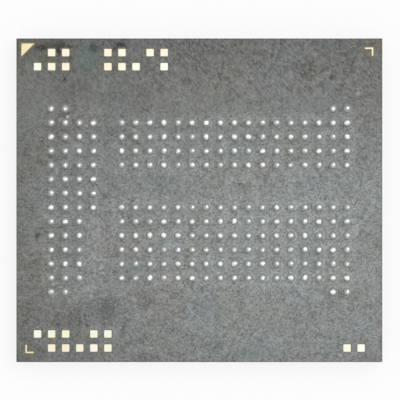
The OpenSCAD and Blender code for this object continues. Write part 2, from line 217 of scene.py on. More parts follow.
def make_light():
    world = bpy.data.worlds.new("dome")
    world.use_nodes = True
    world.node_tree.nodes.clear()
    w = Wiring(world.node_tree)
    strength = w.ranged(seen_directly(w), 0.0, 1.0, DOME_LIGHT, 1.0, smooth=False)
    dome = w.node("ShaderNodeBackground", {"Color": (1.0, 1.0, 1.0, 1.0), "Strength": strength})
    w.node("ShaderNodeOutputWorld", {"Surface": dome.outputs[0]})
    bpy.context.scene.world = world
    lamp = bpy.data.lights.new("soft_lamp", "SUN")
    lamp.energy = LAMP_LIGHT
    lamp.angle = LAMP_SPREAD
    holder = new_object("soft_lamp", lamp)
    holder.rotation_euler = Vector(LAMP_SIDE).to_track_quat("Z", "Y").to_euler()


def make_camera():
    lens = bpy.data.cameras.new("camera")
    lens.lens = LENS
    lens.sensor_width = SENSOR
    distance = VIEW_WIDTH * LENS / SENSOR
    lens.clip_start = distance / 100
    lens.clip_end = distance * 100
    camera = new_object("camera", lens)
    camera.location = (VIEW_CENTRE[0], VIEW_CENTRE[1], BALL_MIDDLE_Z + distance)
    bpy.context.scene.camera = camera


bpy.context.scene.view_settings.view_transform = "Standard"
make_table()
make_light()
make_camera()

# ---------- Laminate core ----------
# A thin sheet of woven glass set in resin, drilled for the vias. The saw cut it flush with
# the mould, so its edge shows the cut ends of the glass bundles in tan resin.

CORE_MIDDLE_Z = 0.7 * MM
BUNDLE_PITCH = 0.32 * MM
BUNDLE_SWING = 0.018 * MM        # how far a bundle weaves up and down
BUNDLE_HALF = (0.008 * MM, 0.024 * MM)   # from its middle to where it starts and ends fading


def principled(w, **inputs):
    """The shader of one material, with its output; names are those of its sockets."""
    names = {name.replace("_", " "): value for name, value in inputs.items()}
    shader = w.node("ShaderNodeBsdfPrincipled", names)
    w.node("ShaderNodeOutputMaterial", {"Surface": shader.outputs[0]})
    return shader


def bumped(w, height, distance, strength):
    """The normals of a surface with fine relief, which rises by distance where height is 1."""
    made = w.node("ShaderNodeBump", {"Height": height, "Distance": distance,
                                     "Strength": strength})
    return made.outputs[0]


def object_position(w):
    return w.node("ShaderNodeTexCoord").outputs["Object"]


def new_group(name, inputs, outputs):
    """An empty node group; inputs are (name, type, default) and outputs (name, type)."""
    tree = bpy.data.node_groups.new(name, "ShaderNodeTree")
    for label, kind, start in inputs:
        socket = tree.interface.new_socket(label, in_out="INPUT", socket_type=kind)
        socket.default_value = start
    for label, kind in outputs:
        tree.interface.new_socket(label, in_out="OUTPUT", socket_type=kind)
    w = Wiring(tree)
    return tree, w, w.node("NodeGroupInput").outputs, w.node("NodeGroupOutput").inputs


def saw_marks_group():
    """Fine scratches along a sawn side, with a mask that is 1 on the four sides."""
    tree, w, given, result = new_group(
        "Saw marks",
        [("Position", "NodeSocketVector", (0.0, 0.0, 0.0)), ("Spacing", "NodeSocketFloat", 1e-5)],
        [("Side", "NodeSocketFloat"), ("Lines", "NodeSocketFloat")])
    upright = w.split(w.node("ShaderNodeNewGeometry").outputs["Normal"])["Z"]
    w.feed(result["Side"], w.math("LESS_THAN", w.math("ABSOLUTE", upright), 0.5))
    along = w.vector("MULTIPLY", given["Position"], (0.012, 0.012, 1.0))
    slant = w.vector("DIVIDE", along, w.join(given["Spacing"], given["Spacing"], given["Spacing"]))
    w.feed(result["Lines"], w.noise(slant, 1.0, detail=3.0, rough=0.65)["Fac"])
    return tree


saw_marks = saw_marks_group()


def core_material():
    made, w = material("glass_laminate_edge")
    position = object_position(w)
    saw = w.group(saw_marks, {"Position": position, "Spacing": 0.006 * MM})
    place = w.split(position)
    across = w.math("ADD", place["X"], place["Y"])
    wave = w.math("SINE", w.math("MULTIPLY", across, 2 * math.pi / BUNDLE_PITCH))
    middle = w.math("MULTIPLY_ADD", wave, BUNDLE_SWING, CORE_MIDDLE_Z)
    off = w.math("ABSOLUTE", w.math("SUBTRACT", place["Z"], middle))
    glass = w.ranged(off, BUNDLE_HALF[0], BUNDLE_HALF[1], 1.0, 0.0)
    ends = w.noise(position, 0.012 * MM, detail=3.0, rough=0.7)["Fac"]
    cloudy = w.noise(position, 0.35 * MM, detail=2.0)["Fac"]
    resin = w.mixed(cloudy, colour(146, 128, 84), colour(176, 156, 104))
    fibres = w.mixed(w.ranged(ends, 0.35, 0.65), colour(188, 178, 142), colour(226, 220, 196))
    tan = w.mixed(w.math("MULTIPLY", glass, 0.8), resin, fibres)
    dusted = w.mixed(w.math("MULTIPLY", saw["Lines"], 0.25), tan, colour(120, 110, 88))
    principled(w, Base_Color=dusted, Roughness=w.ranged(ends, 0.2, 0.8, 0.55, 0.8),
               Normal=bumped(w, w.math("ADD", saw["Lines"], ends), 0.003 * MM, 0.6))
    return made


def dress(node, new_material):
    """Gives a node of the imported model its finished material."""
    slots = nodes[node].data.materials
    slots.clear()
    slots.append(new_material)


dress("substrate_core", core_material())

# ---------- Copper layers and vias ----------
# Etched copper foil on both faces of the core, joined through it by plated, resin-filled
# vias. Only the sawn ends of the traces show, as small bright dots on the package's sides.


def copper_material():
    made, w = material("etched_copper")
    position = object_position(w)
    saw = w.group(saw_marks, {"Position": position, "Spacing": 0.004 * MM})
    stained = w.noise(position, 0.2 * MM, detail=4.0, rough=0.6)["Fac"]
    etched = w.noise(position, 0.008 * MM, detail=2.0)["Fac"]
    dull = w.mixed(w.ranged(stained, 0.35, 0.7), colour(176, 104, 66), colour(206, 136, 92))
    cut = w.mixed(saw["Side"], dull, colour(232, 168, 122))
    principled(w, Base_Color=cut, Metallic=1.0, Roughness=w.ranged(etched, 0.3, 0.7, 0.32, 0.5),
               Normal=bumped(w, etched, 0.001 * MM, 0.5))
    return made


def plug_material():
    made, w = material("via_resin")
    position = object_position(w)
    filler = w.noise(position, 0.01 * MM, detail=3.0, rough=0.7)["Fac"]
    tone = w.mixed(w.ranged(filler, 0.3, 0.7), colour(96, 104, 72), colour(132, 138, 100))
    principled(w, Base_Color=tone, Roughness=w.ranged(filler, 0.2, 0.8, 0.45, 0.65),
               Normal=bumped(w, filler, 0.001 * MM, 0.4))
    return made


copper = copper_material()
for copper_node in ("die_side_copper", "ball_side_copper", "via_barrels"):
    dress(copper_node, copper)
dress("via_plugs", plug_material())

# ---------- Solder mask ----------
# A grey-green, light-cured resin over both copper layers, opened over the lands, test pads
# and marks. Its outer face is satin and mottled, with tints, residue and handling marks, and
# carries a painted pool of light that fades to painted shade towards its edges.

MASK_TOP_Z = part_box("ball_side_solder_mask")[1].z
BALL_PITCH = 0.5 * MM
OPENING_RADIUS = 0.13 * MM       # of the mask's opening over each land
COLLAR_RADIUS = 0.235 * MM       # to where the resin over the land's rim meets the face
COLLAR_COPPER_AND_LIGHT_LIFT = 0.55               # how much lighter it is beside the opening, partly for the copper land under it and partly as painted light that lifts the ball's contact shadow

# Where the painted pool of light on the face is brightest, and how fast painted shade darkens it
# along x and y
PAINTED_LIGHT_PLACE = (2.9 * MM, -1.6 * MM, 0.0)
PAINTED_LIGHT_FALL = (0.078 / MM, 0.12 / MM, 0.0)

GRAIN_SIZE = 0.067 * MM
STROKE_SLANT = math.radians(54)  # down from the body's long side
STROKE_DRAW = 0.58               # below 1, the grain is drawn out along the slant
STROKE_ZONE = (2.9 * MM, 4.3 * MM)   # the strokes come in between these heights along y

# How much each kind of unevenness lightens or darkens the face
GRAIN_DEPTH = 2.5
BLOTCH_DEPTH = 0.95
ZONE_DEPTH = 0.35
FLECK_DEPTH = 0.5
HAZE_DEPTH = 0.175
RIM_DEPTH = 0.3
RIM_REACH = 0.07 * MM            # the width of the darker rim
DARKEST = 0.25                   # the least that all of this leaves of the plain colour

TINT_DEPTH = 0.46
COOL_TINT = colour(238, 249, 255)
WARM_TINT = colour(255, 249, 236)


def mottle_group():
    """The uneven tone of cured resin: fine grain, small blotches, and wide tinted zones."""
    tree, w, given, result = new_group(
        "Mottle",
        [("Position", "NodeSocketVector", (0.0, 0.0, 0.0)),
         ("Grain size", "NodeSocketFloat", 1e-4),
         ("Blotch size", "NodeSocketFloat", 3e-4),
         ("Zone size", "NodeSocketFloat", 2e-3)],
        [("Grain", "NodeSocketFloat"), ("Blotch", "NodeSocketFloat"),
         ("Fleck", "NodeSocketFloat"), ("Zone", "NodeSocketFloat"),
         ("Tint", "NodeSocketColor")])

    def layer(size, detail, rough, skew):
        spot = w.vector("DIVIDE", given["Position"], w.join(size, size, size))
        return w.noise(spot, 1.0, detail, rough, skew)

    w.feed(result["Grain"], layer(given["Grain size"], 2.0, 0.6, 0.4)["Fac"])
    w.feed(result["Blotch"], layer(given["Blotch size"], 2.0, 0.55, 0.8)["Fac"])
    fleck = layer(w.math("MULTIPLY", given["Grain size"], 1.6), 2.0, 0.6, 1.2)["Fac"]
    w.feed(result["Fleck"], w.ranged(fleck, 0.6, 0.74))
    zone = layer(given["Zone size"], 2.0, 0.5, 0.6)
    w.feed(result["Zone"], zone["Fac"])
    w.feed(result["Tint"], zone["Color"])
    return tree


mottle = mottle_group()


def stain_group():
    """A soft-edged patch around a centre; the mask is its strength in the middle."""
    tree, w, given, result = new_group(
        "Stain",
        [("Position", "NodeSocketVector", (0.0, 0.0, 0.0)),
         ("Centre", "NodeSocketVector", (0.0, 0.0, 0.0)),
         ("Reach", "NodeSocketVector", (1e-3, 1e-3, 1.0)),
         ("Strength", "NodeSocketFloat", 1.0)],
        [("Mask", "NodeSocketFloat")])
    away = w.vector("LENGTH", w.vector("DIVIDE", w.vector("SUBTRACT", given["Position"],
                                                          given["Centre"]), given["Reach"]))
    soft = w.ranged(away, 0.15, 1.0, 1.0, 0.0)
    w.feed(result["Mask"], w.math("MULTIPLY", soft, given["Strength"]))
    return tree


stain = stain_group()

# Patches on the outer face, each as middle x, y and reach x, y in millimetres, and strength:
# dark residue, greener resin, and pale rubbed places
DARK_PATCHES = [
    (-3.3, -3.8, 0.9, 1.0, 0.48), (-1.9, -3.6, 0.5, 0.5, 0.36), (-5.1, -4.3, 0.4, 0.4, 0.42),
    (-4.0, -4.4, 0.26, 0.22, 0.5), (-2.7, -4.6, 0.22, 0.3, 0.5), (-4.6, -4.4, 0.2, 0.15, 0.5),
    (4.0, 4.6, 0.85, 0.8, 0.3), (3.9, 4.0, 0.16, 0.2, 0.6), (5.4, 4.7, 0.2, 0.35, 0.45),
    (3.7, 4.55, 0.2, 0.3, 0.6), (4.0, 4.88, 0.2, 0.12, 0.6), (3.36, 4.83, 0.14, 0.14, 0.5),
    (4.43, 4.6, 0.14, 0.16, 0.6), (4.7, 4.4, 0.14, 0.14, 0.6), (4.4, 4.1, 0.14, 0.2, 0.5),
    (1.4, 3.7, 0.16, 0.2, 0.4), (2.2, 4.9, 0.3, 0.2, 0.3), (0.6, 5.3, 1.2, 0.3, 0.25),
    (-3.8, 5.4, 0.26, 0.26, 0.9), (-5.75, -1.25, 0.16, 0.24, 0.7), (-5.9, -2.2, 0.14, 0.12, 0.5),
    (-2.75, 5.52, 0.24, 0.14, 1.0), (-3.0, 5.4, 0.08, 0.2, 0.8), (-4.6, 5.5, 0.2, 0.14, 0.9),
    (-5.55, 5.43, 0.2, 0.16, 1.0), (-5.0, 5.35, 0.15, 0.3, 1.0), (-4.85, 5.5, 0.12, 0.12, 0.9),
    (-5.75, 5.45, 0.1, 0.16, 0.8), (-4.8, 4.3, 0.12, 0.12, 1.0), (-3.05, 5.5, 0.1, 0.1, 0.7),
    (-3.0, 3.7, 0.12, 0.12, 0.5), (-6.2, -4.95, 0.15, 0.2, 0.5), (5.85, 1.45, 0.12, 0.12, 0.5),
    (0.85, -4.9, 0.12, 0.12, 0.5), (2.0, 1.72, 0.22, 0.03, 0.8), (-6.0, -5.2, 0.5, 0.5, 0.3),
    (-5.3, 5.15, 0.35, 0.14, 0.6), (-6.4, -2.0, 0.5, 3.4, 0.2), (-4.4, -4.2, 1.2, 0.9, 0.34),
    (-4.6, -5.0, 2.4, 1.1, 0.17),
    (-5.05, 5.5, 0.95, 0.24, 0.6), (-2.9, 5.52, 0.42, 0.18, 0.6), (-6.2, -4.2, 0.7, 1.4, 0.25),
]
TEAL_PATCHES = [
    (-4.0, 5.0, 0.6, 0.8, 0.95), (-3.4, 4.2, 0.9, 0.7, 0.35), (1.9, -5.4, 0.7, 0.5, 0.5),
    (-1.2, 0.6, 1.0, 0.6, 0.35), (0.4, -3.9, 1.4, 0.6, 0.3), (-2.6, 2.2, 0.6, 0.9, 0.3),
    (4.6, 5.5, 0.5, 0.25, 0.5), (-2.4, -2.6, 0.9, 0.5, 0.4),
]
PALE_PATCHES = [
    (-1.28, 1.5, 0.05, 0.16, 0.8), (-1.44, 1.38, 0.04, 0.13, 0.7), (-4.68, 2.97, 0.09, 0.09, 1.0),
    (-4.36, 1.95, 0.26, 0.2, 0.3), (-6.1, 4.85, 0.16, 0.2, 0.12), (-5.05, 1.05, 0.15, 0.2, 0.3),
    (-5.45, -0.55, 0.14, 0.14, 0.3), (-2.3, 2.5, 0.12, 0.1, 0.45), (-4.95, 2.87, 0.1, 0.1, 0.4),
    (-5.2, -3.0, 0.1, 0.1, 0.4), (-4.0, 2.65, 0.1, 0.1, 0.4), (5.0, -5.5, 0.12, 0.1, 0.4),
    (-5.35, -2.0, 0.1, 0.1, 0.4), (5.65, 3.8, 0.12, 0.12, 0.35), (0.35, -2.0, 0.1, 0.1, 0.4),
    (-1.5, 2.65, 0.08, 0.06, 0.5), (3.68, 4.54, 0.05, 0.05, 0.4), (4.15, 5.18, 0.06, 0.05, 0.5),
    (-6.0, 3.6, 1.3, 2.4, 0.09),
]

# The three fields of balls, as lowest x, y and highest x, y in millimetres. Flux residue
# hazes them, and fades across their edges from the first distance to the second
HAZE_FADE = (-0.2 * MM, 0.15 * MM)
BALL_FIELDS = [(-5.6, -3.6, -3.4, 3.6), (-3.1, 0.9, 5.6, 3.1), (-3.1, -3.1, 5.6, 0.1)]


def field_haze(w, position):
    """1 inside the fields of balls, fading to 0 a little outside them."""
    place = w.split(position)
    total = 0.0
    for x0, y0, x1, y1 in BALL_FIELDS:
        inside = 1.0
        for axis, start, end in (("X", x0, x1), ("Y", y0, y1)):
            middle = w.math("SUBTRACT", place[axis], (start + end) / 2 * MM)
            off = w.math("ABSOLUTE", middle)
            half = (end - start) / 2 * MM
            inside = w.math("MULTIPLY", inside,
                            w.ranged(off, half + HAZE_FADE[0], half + HAZE_FADE[1], 1.0, 0.0))
        total = w.math("MAXIMUM", total, inside)
    return total


def rim_shade(w, position):
    """1 at the body's sawn sides, fading to 0 a little inside them."""
    place = w.split(position)
    left = w.math("SUBTRACT", cad_high.x, w.math("ABSOLUTE", place["X"]))
    above = w.math("SUBTRACT", cad_high.y, w.math("ABSOLUTE", place["Y"]))
    return w.ranged(w.math("MINIMUM", left, above), 0.0, RIM_REACH, 1.0, 0.0)


def patches(w, position, wanted):
    """The strongest of several stains at each point."""
    total = 0.0
    for x, y, reach_x, reach_y, strength in wanted:
        mask = w.group(stain, {
            "Position": position, "Centre": (x * MM, y * MM, MASK_TOP_Z),
            "Reach": (reach_x * MM, reach_y * MM, 1.0), "Strength": strength})["Mask"]
        total = w.math("MAXIMUM", total, mask)
    return total


def place_in_cell(w, position):
    """Where a point is from the middle of its pitch cell, without its height."""
    inside = w.vector("WRAP", position, (BALL_PITCH, BALL_PITCH, 1.0), (0.0, 0.0, -1.0))
    return w.flat(w.vector("SUBTRACT", inside, (BALL_PITCH / 2, BALL_PITCH / 2, 0.0)))


def turned_by(w, position, angle):
    return w.node("ShaderNodeVectorRotate", {"Vector": position, "Angle": angle},
                  rotation_type="Z_AXIS").outputs[0]


def wiped_grain(w, position, tone):
    """The grain, drawn out into short slanting strokes near the body's upper long side."""
    turned = turned_by(w, position, STROKE_SLANT)
    strokes = w.noise(w.vector("MULTIPLY", turned, (STROKE_DRAW, 1.0, 1.0)), GRAIN_SIZE,
                      detail=2.0, rough=0.6, skew=0.4)["Fac"]
    share = w.ranged(w.split(position)["Y"], *STROKE_ZONE)
    return w.math("MULTIPLY_ADD", w.math("SUBTRACT", strokes, tone["Grain"]), share,
                  tone["Grain"])


def outer_mask_material(name, copper_and_light_lift=0.0):
    """The mask's outer face; a lift above 0 makes it the resin around the openings, lighter there
    for the copper under it and with painted light that lifts the balls' contact shadow.
    """
    made, w = material(name)
    position = object_position(w)
    tone = w.group(mottle, {"Position": position, "Grain size": GRAIN_SIZE,
                            "Blotch size": 0.3 * MM, "Zone size": 2.1 * MM})
    saw = w.group(saw_marks, {"Position": position, "Spacing": 0.004 * MM})

    # A painted pool of light: the face is palest right of its middle, and painted shade darkens it
    # towards its edges
    away = w.vector("MULTIPLY", w.vector("SUBTRACT", position, PAINTED_LIGHT_PLACE), PAINTED_LIGHT_FALL)
    squared = w.node("ShaderNodeVectorMath", {0: away, 1: away}, operation="DOT_PRODUCT")
    fall = w.math("EXPONENT", w.math("MULTIPLY", squared.outputs["Value"], -1.0))
    plain = w.mixed(fall, colour(46, 40, 20), colour(134, 137, 136))

    # Wide zones of it lean to a cool tint or to a warm one
    zones = w.split(tone["Tint"])
    tinted = plain
    for zone, start, end, tint in (("X", 0.4, 0.62, COOL_TINT), ("Y", 0.43, 0.65, WARM_TINT)):
        share = w.ranged(zones[zone], start, end, 0.0, TINT_DEPTH)
        tinted = w.mixed(share, tinted, w.mixed(1.0, tinted, tint, "MULTIPLY"))

    # Grain, blotches, zones, flecks, haze and the darker rim, as one factor on that colour
    grain = w.level(wiped_grain(w, position, tone), GRAIN_DEPTH)
    blotch = w.swing(tone["Blotch"], BLOTCH_DEPTH)
    level = w.math("ADD", w.math("ADD", grain, blotch), w.swing(tone["Zone"], ZONE_DEPTH))
    level = w.math("SUBTRACT", level, w.math("MULTIPLY", tone["Fleck"], FLECK_DEPTH))
    for share, depth in ((field_haze(w, position), HAZE_DEPTH),
                         (rim_shade(w, position), -RIM_DEPTH)):
        level = w.math("MULTIPLY", level, w.math("MULTIPLY_ADD", share, depth, 1.0))
    # Beside each opening: lighter for the copper land under the resin, and painted light that
    # lifts the ball's contact shadow
    if copper_and_light_lift:
        away = w.vector("LENGTH", place_in_cell(w, position))
        near = w.ranged(away, OPENING_RADIUS, COLLAR_RADIUS, 1 + copper_and_light_lift, 1.0)
        level = w.math("MULTIPLY", level, near)
    uneven = w.scaled(tinted, w.math("MAXIMUM", level, DARKEST))

    # Patches with ragged edges; the dark residue is also broken up by fine gaps
    rag = w.noise(position, 0.16 * MM, detail=3.0, rough=0.7)["Color"]
    ragged = w.vector("ADD", position, w.push(rag, 0.42 * MM))
    fine = w.noise(position, 0.07 * MM, detail=2.0, rough=0.6)["Fac"]
    broken = w.swing(fine, 2.2)
    dark = patches(w, ragged, DARK_PATCHES)
    dark = w.math("MULTIPLY", dark, w.ranged(w.math("ADD", dark, broken), 0.1, 0.5))
    teal = patches(w, ragged, TEAL_PATCHES)
    pale = patches(w, position, PALE_PATCHES)
    stained = w.mixed(dark, uneven, colour(14, 17, 4))
    stained = w.mixed(w.math("MULTIPLY", teal, 0.5), stained, colour(88, 112, 107))
    stained = w.mixed(w.math("MULTIPLY", pale, 0.7), stained, colour(205, 208, 203))
    sawn = w.mixed(saw["Lines"], colour(52, 62, 52), colour(92, 102, 88))
    principled(w, Base_Color=w.mixed(saw["Side"], stained, sawn),
               Roughness=w.ranged(tone["Grain"], 0.2, 0.8, 0.42, 0.62),
               Normal=bumped(w, tone["Grain"], 0.004 * MM, 0.35))
    return made


def inner_mask_material():
    """The mask on the die side, of which only the sawn edge shows."""
    made, w = material("solder_mask_inner")
    position = object_position(w)
    tone = w.group(mottle, {"Position": position, "Grain size": 0.03 * MM,
                            "Blotch size": 0.2 * MM, "Zone size": 1.5 * MM})
    saw = w.group(saw_marks, {"Position": position, "Spacing": 0.004 * MM})
    face = w.mixed(tone["Zone"], colour(70, 82, 66), colour(96, 108, 90))
    sawn = w.mixed(saw["Lines"], colour(44, 54, 44), colour(84, 94, 80))
    principled(w, Base_Color=w.mixed(saw["Side"], face, sawn),
               Roughness=w.ranged(tone["Grain"], 0.2, 0.8, 0.4, 0.6),
               Normal=bumped(w, saw["Lines"], 0.002 * MM, 0.5))
    return made


dress("ball_side_solder_mask", outer_mask_material("solder_mask_outer"))
dress("die_side_solder_mask", inner_mask_material())

# ---------- Mask relief over the lands ----------
# The resin flowed over the etched copper, so it stands a few thousandths of a millimetre
# proud on the rim of each ball's land, on the link beside it and on the via that it joins.

SUNK_EDGE = 0.0006 * MM          # how far under the face the edge of a raised piece ends
NEAR_TOP = 0.001 * MM            # a point less far down counts as being at the top
CLOSING_GAP = 0.00005 * MM       # points of a ring's seam or pole that are closer are one
TEST_PADS = ("upper_left_test_pads", "lower_left_test_pads", "lower_right_test_pads")


def cell_centres(names, pitch):
    """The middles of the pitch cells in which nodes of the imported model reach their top."""
    cells = set()
    for name in names:
        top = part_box(name)[1].z
        for vertex in nodes[name].data.vertices:
            if vertex.co.z > top - NEAR_TOP:
                cells.add((math.floor(vertex.co.x / pitch), math.floor(vertex.co.y / pitch)))
    return [((i + 0.5) * pitch, (j + 0.5) * pitch) for i, j in sorted(cells)]


BALL_ROWS = sorted(name for name in nodes if name.startswith("ball_row_"))
ball_places = cell_centres(BALL_ROWS, BALL_PITCH)
pad_places = cell_centres(TEST_PADS, BALL_PITCH)


def lip_material(name, dark, pale):
    """Thin resin over the edge of a pad or mark, which lets a little of the gold through."""
    made, w = material(name)
    position = object_position(w)
    tone = w.group(mottle, {"Position": position, "Grain size": 0.05 * MM,
                            "Blotch size": 0.2 * MM, "Zone size": 1.0 * MM})
    resin = w.mixed(tone["Blotch"], dark, pale)
    principled(w, Base_Color=w.scaled(resin, w.level(tone["Grain"], 1.2)),
               Roughness=w.ranged(tone["Grain"], 0.2, 0.8, 0.35, 0.5),
               Normal=bumped(w, tone["Grain"], 0.002 * MM, 0.3))
    return made


class Shaping(Wiring):
    """Wiring for a geometry tree, whose mathematics uses the same nodes as a material's."""

    def rim_patch(self, inner, outer, profile, turns, rings, square=2.0):
        """A ring or disc around z; profile gives its level from the share of the way out.

        square is 2 for a circle, and more for a square with rounder or sharper corners.
        """
        grid = self.node("GeometryNodeMeshGrid", {
            "Size X": 1.0, "Size Y": 1.0, "Vertices X": rings + 1, "Vertices Y": turns + 1})
        place = self.split(self.node("GeometryNodeInputPosition").outputs[0])
        out = self.math("ADD", place["X"], 0.5)
        angle = self.math("MULTIPLY", self.math("ADD", place["Y"], 0.5), 2 * math.pi)
        along = self.math("COSINE", angle)
        across = self.math("SINE", angle)
        power = self.math("ADD", self.math("POWER", self.math("ABSOLUTE", along), square),
                          self.math("POWER", self.math("ABSOLUTE", across), square))
        reach = self.math("DIVIDE", 1.0, self.math("POWER", power,
                                                   self.math("DIVIDE", 1.0, square)))
        radius = self.math("MULTIPLY", reach, self.math(
            "ADD", inner, self.math("MULTIPLY", out, self.math("SUBTRACT", outer, inner))))
        point = self.join(self.math("MULTIPLY", radius, along),
                          self.math("MULTIPLY", radius, across), profile(out))
        bent = self.node("GeometryNodeSetPosition", {"Geometry": grid.outputs["Mesh"],
                                                     "Position": point})
        closed = self.node("GeometryNodeMergeByDistance", {"Geometry": bent.outputs[0],
                                                           "Distance": CLOSING_GAP})
        return closed.outputs[0]

    def ridge(self, rise):
        """A profile that is rounded, and lowest at both edges, just under the face."""
        return lambda out: self.math("SUBTRACT", self.math(
            "MULTIPLY", rise, self.math("SINE", self.math("MULTIPLY", out, math.pi))),
            SUNK_EDGE)

    def lip(self, rise, drop):
        """A profile that climbs steeply out of an opening and rolls over onto the face."""
        def level(out):
            left = self.math("SUBTRACT", 1.0, out)
            crest = self.math("MULTIPLY", rise, self.math("SINE", self.math(
                "MULTIPLY", out, math.pi)))
            fall = self.math("MULTIPLY", drop, self.math("POWER", left, 5.0))
            return self.math("SUBTRACT", self.math("SUBTRACT", crest, fall), SUNK_EDGE)
        return level

    def planted(self, points, parts, coat):
        """The joined parts on every point, as real geometry in one material."""
        joined = self.node("GeometryNodeJoinGeometry")
        for part in parts:
            self.tree.links.new(part, joined.inputs[0])
        placed = self.node("GeometryNodeInstanceOnPoints", {"Points": points,
                                                            "Instance": joined.outputs[0]})
        solid = self.node("GeometryNodeRealizeInstances", {"Geometry": placed.outputs[0]})
        smooth = self.node("GeometryNodeSetShadeSmooth", {"Geometry": solid.outputs[0]})
        return self.node("GeometryNodeSetMaterial", {"Geometry": smooth.outputs[0],
                                                     "Material": coat}).outputs[0]


def growth_tree(name, sizes):
    """An empty geometry tree with named sizes, its wiring, its inputs and its output."""
    tree = bpy.data.node_groups.new(name, "GeometryNodeTree")
    face = tree.interface
    face.new_socket("Geometry", in_out="INPUT", socket_type="NodeSocketGeometry")
    for label in sizes:
        face.new_socket(label, in_out="INPUT", socket_type="NodeSocketFloat")
    face.new_socket("Material", in_out="INPUT", socket_type="NodeSocketMaterial")
    face.new_socket("Geometry", in_out="OUTPUT", socket_type="NodeSocketGeometry")
    w = Shaping(tree)
    return tree, w, w.node("NodeGroupInput").outputs, w.node("NodeGroupOutput").inputs


def relief_tree():
    """Collar, link and via hump, set on every point of the mesh that the tree is given."""
    tree, w, given, result = growth_tree("Mask relief", [
        "Opening radius", "Collar radius", "Via radius", "Via offset", "Link width", "Rise"])
    collar = w.rim_patch(given["Opening radius"], given["Collar radius"],
                         w.ridge(given["Rise"]), turns=16, rings=2)
    hump = w.rim_patch(0.0, given["Via radius"], w.ridge(given["Rise"]), turns=8, rings=2)
    offset = w.join(given["Via offset"], w.math("MULTIPLY", given["Via offset"], -1.0), 0.0)
    moved = w.node("GeometryNodeTransform", {"Geometry": hump, "Translation": offset})
    reach = w.math("MULTIPLY", given["Via offset"], math.sqrt(2))
    link = w.node("GeometryNodeMeshGrid", {
        "Size X": w.math("SUBTRACT", reach, given["Opening radius"]),
        "Size Y": given["Link width"], "Vertices X": 2, "Vertices Y": 5})
    place = w.split(w.node("GeometryNodeInputPosition").outputs[0])
    side = w.math("DIVIDE", place["Y"], given["Link width"])
    arch = w.math("COSINE", w.math("MULTIPLY", side, math.pi))
    level = w.math("SUBTRACT", w.math("MULTIPLY", given["Rise"], arch), SUNK_EDGE)
    arched = w.node("GeometryNodeSetPosition", {
        "Geometry": link.outputs["Mesh"], "Position": w.join(place["X"], place["Y"], level)})
    middle = w.math("MULTIPLY", w.math("ADD", reach, given["Opening radius"]),
                    0.5 / math.sqrt(2))
    laid = w.node("GeometryNodeTransform", {
        "Geometry": arched.outputs[0],
        "Translation": w.join(middle, w.math("MULTIPLY", middle, -1.0), 0.0),
        "Rotation": (0.0, 0.0, -math.pi / 4)})
    w.feed(result[0], w.planted(given["Geometry"], (collar, moved.outputs[0], laid.outputs[0]),
                                given["Material"]))
    return tree


def lip_tree():
    """A square lip of resin around each opening, rolling down to the pad inside it."""
    tree, w, given, result = growth_tree("Mask lip", [
        "Inner half side", "Outer half side", "Rise", "Drop"])
    rim = w.rim_patch(given["Inner half side"], given["Outer half side"],
                      w.lip(given["Rise"], given["Drop"]), turns=32, rings=5, square=14.0)
    w.feed(result[0], w.planted(given["Geometry"], (rim,), given["Material"]))
    return tree


def grown(name, points, tree, inputs):
    """Makes a finished piece of the plain mesh that a geometry tree grows on some points."""
    seed = bpy.data.meshes.new(name + "_points")
    seed.from_pydata(points, [], [])
    source = new_object(name + "_points", seed)
    growth = source.modifiers.new("growth", "NODES")
    growth.node_group = tree
    sockets = {item.name: item.identifier for item in tree.interface.items_tree
               if item.in_out == "INPUT"}
    for label, value in inputs.items():
        growth[sockets[label]] = value
    shown = source.evaluated_get(bpy.context.evaluated_depsgraph_get())
    mesh = bpy.data.meshes.new_from_object(shown)
    mesh.name = name
    piece = new_object(name, mesh)
    bpy.data.objects.remove(source)
    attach(piece, "root")


grown("mask_relief", [(x, y, MASK_TOP_Z) for x, y in ball_places], relief_tree(), {
    "Opening radius": OPENING_RADIUS, "Collar radius": COLLAR_RADIUS,
    "Via radius": 0.09 * MM, "Via offset": BALL_PITCH / 2, "Link width": 0.08 * MM,
    "Rise": 0.003 * MM,
    "Material": outer_mask_material("solder_mask_collar", COLLAR_COPPER_AND_LIGHT_LIFT)})
grown("mask_lips", [(x, y, MASK_TOP_Z) for x, y in pad_places], lip_tree(), {
    "Inner half side": 0.131 * MM, "Outer half side": 0.165 * MM, "Rise": 0.002 * MM,
    "Drop": 0.013 * MM,
    "Material": lip_material("pad_lip", colour(92, 91, 74), colour(124, 122, 100))})

SAME_PLACE = 0.0005 * MM         # points of a mark's mesh that are closer are one
MITRE_FLOOR = 0.7                # a lip's corner reaches at most 1 / 0.7 of its width


def outlines_of(names):
    """The outer edge of each named flat node's lowest face, as closed rings of points."""
    rings = []
    for name in names:
        mesh = bmesh.new()
        mesh.from_mesh(nodes[name].data)
        bmesh.ops.remove_doubles(mesh, verts=mesh.verts, dist=SAME_PLACE)
        low_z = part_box(name)[0].z
        # A dict keeps the faces in order, as a set doesn't, so each run gives the same mesh
        flat = dict.fromkeys(face for face in mesh.faces if face.normal.z < -0.9
                             and face.calc_center_median().z < low_z + SAME_PLACE)
        follows = {}
        for face in flat:
            for loop in face.loops:
                if sum(other in flat for other in loop.edge.link_faces) == 1:
                    follows[loop.link_loop_next.vert.index] = loop.vert.index
        mesh.verts.ensure_lookup_table()
        while follows:
            first, here = follows.popitem()
            ring = [first]
            while here != first:
                ring.append(here)
                here = follows.pop(here)
            rings.append([mesh.verts[i].co.xy.copy() for i in ring])
        mesh.free()
    return rings


